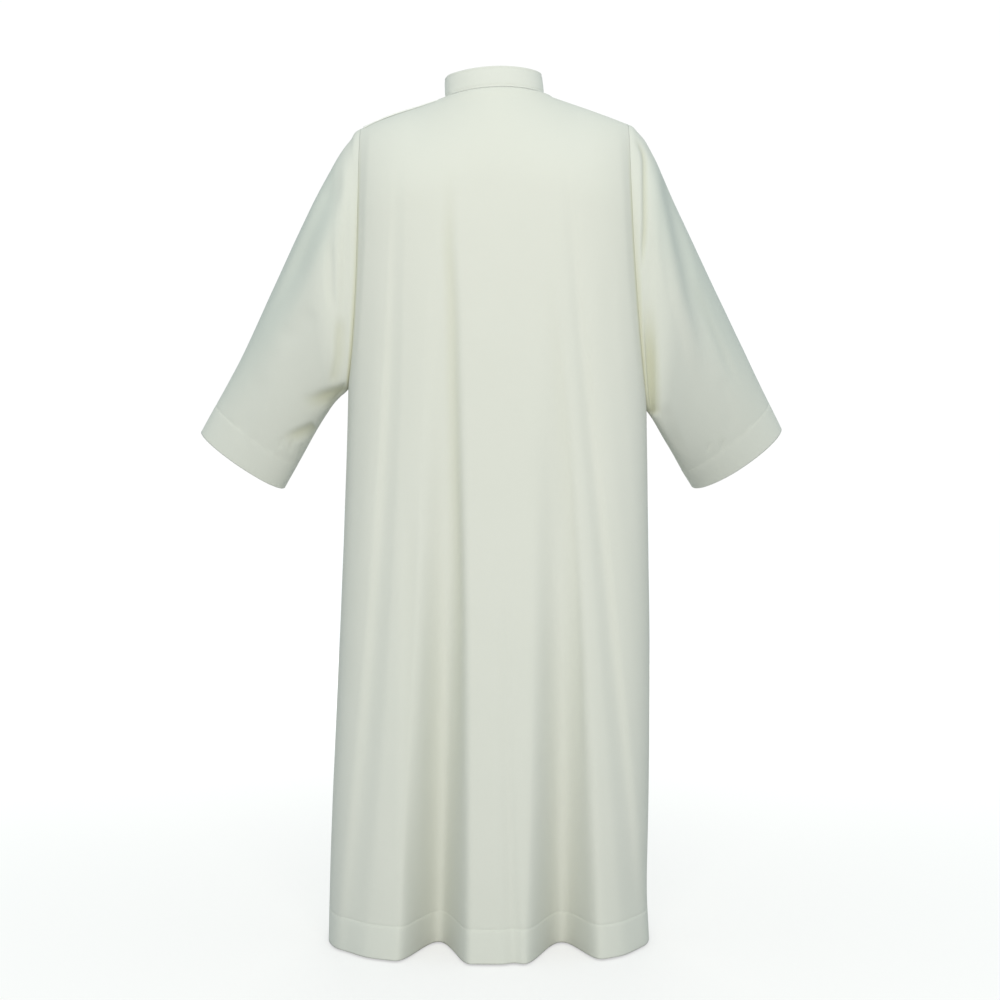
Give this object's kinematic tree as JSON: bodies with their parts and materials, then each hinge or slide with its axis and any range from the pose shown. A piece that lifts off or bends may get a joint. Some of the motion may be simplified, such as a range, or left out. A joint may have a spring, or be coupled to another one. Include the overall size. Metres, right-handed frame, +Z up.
{
  "type": "alb robe",
  "caption": "Ankle-length cream alb robe with a stand-up collar, long open sleeves and a loose skirt that hangs in soft folds, filled out and hollow with no wearer inside",
  "frame": {"origin": "the middle of the neck opening at the height of the shoulder seams, where the wearer holds the robe up", "axes": "+Z up from the hem to the neck, +Y the way the wearer faces, +X the wearer's right side"},
  "size_m": [1.0211, 0.3751, 1.4628],
  "materials": {
    "robe_cloth": "matt plain weave, off-white with a cool cast",
    "collar_cloth": "matt plain weave, two layers pressed and edge stitched"
  },
  "bodies": {
    "root": {"back_panel": "robe_cloth", "front_panel": "robe_cloth", "sleeve_left": "robe_cloth", "sleeve_right": "robe_cloth", "collar": "collar_cloth", "shoulder_placket": "robe_cloth"}
  },
  "joints": []
}
